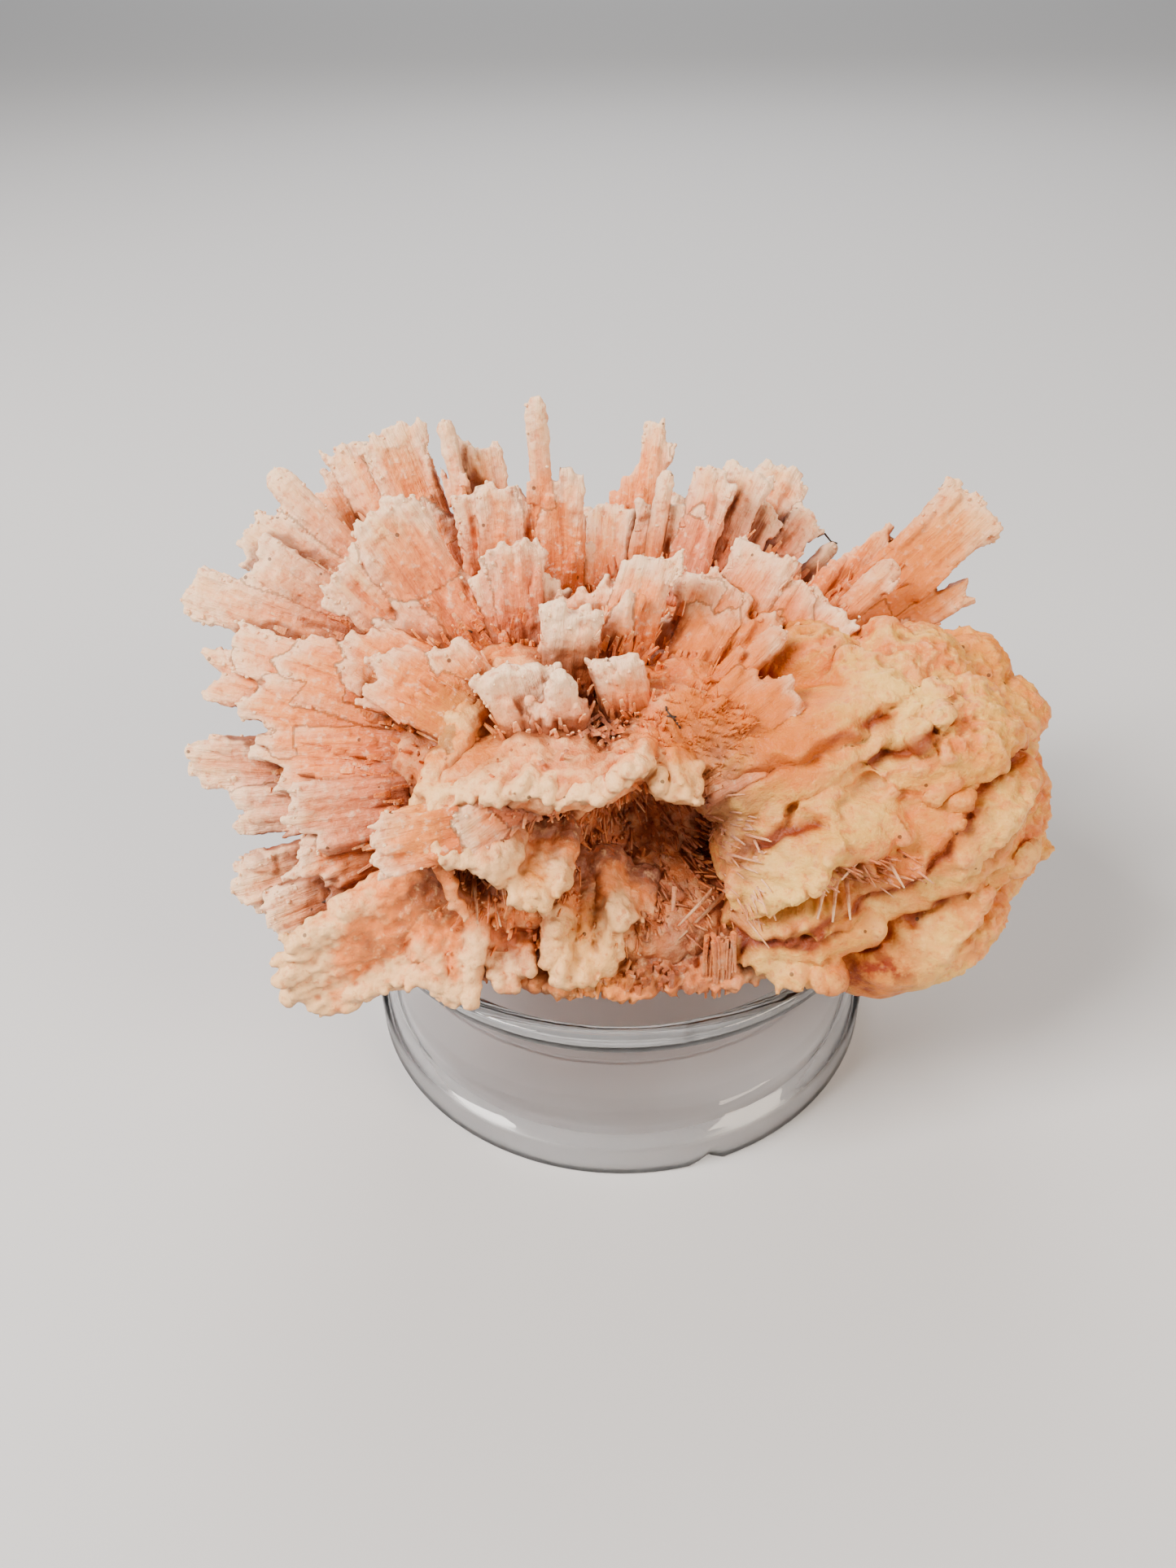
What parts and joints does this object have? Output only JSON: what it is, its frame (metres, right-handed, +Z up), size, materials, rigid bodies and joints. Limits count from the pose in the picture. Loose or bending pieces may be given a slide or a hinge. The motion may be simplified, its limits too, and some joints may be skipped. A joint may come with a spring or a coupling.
{
  "type": "mineral specimen on ring stand",
  "caption": "Radiating cluster of pale pink crystal blades with a smooth cream lobe at one side, resting on a clear waisted ring stand.",
  "frame": {"origin": "middle of the whole model's footprint, on the surface that the ring stand rests on", "axes": "+Z up through the ring; -Y towards the side the specimen is shown from; +X along its length, towards the cream lobe"},
  "size_m": [0.0782, 0.0584, 0.0591],
  "materials": {
    "crystal": "waxy, faintly translucent mineral, pale at the blade edges and orange at their roots",
    "clear_acrylic": "clear moulded acrylic, polished, with light wear"
  },
  "bodies": {
    "root": {"crystal_cluster": "crystal", "ring_stand": "clear_acrylic"}
  },
  "joints": []
}
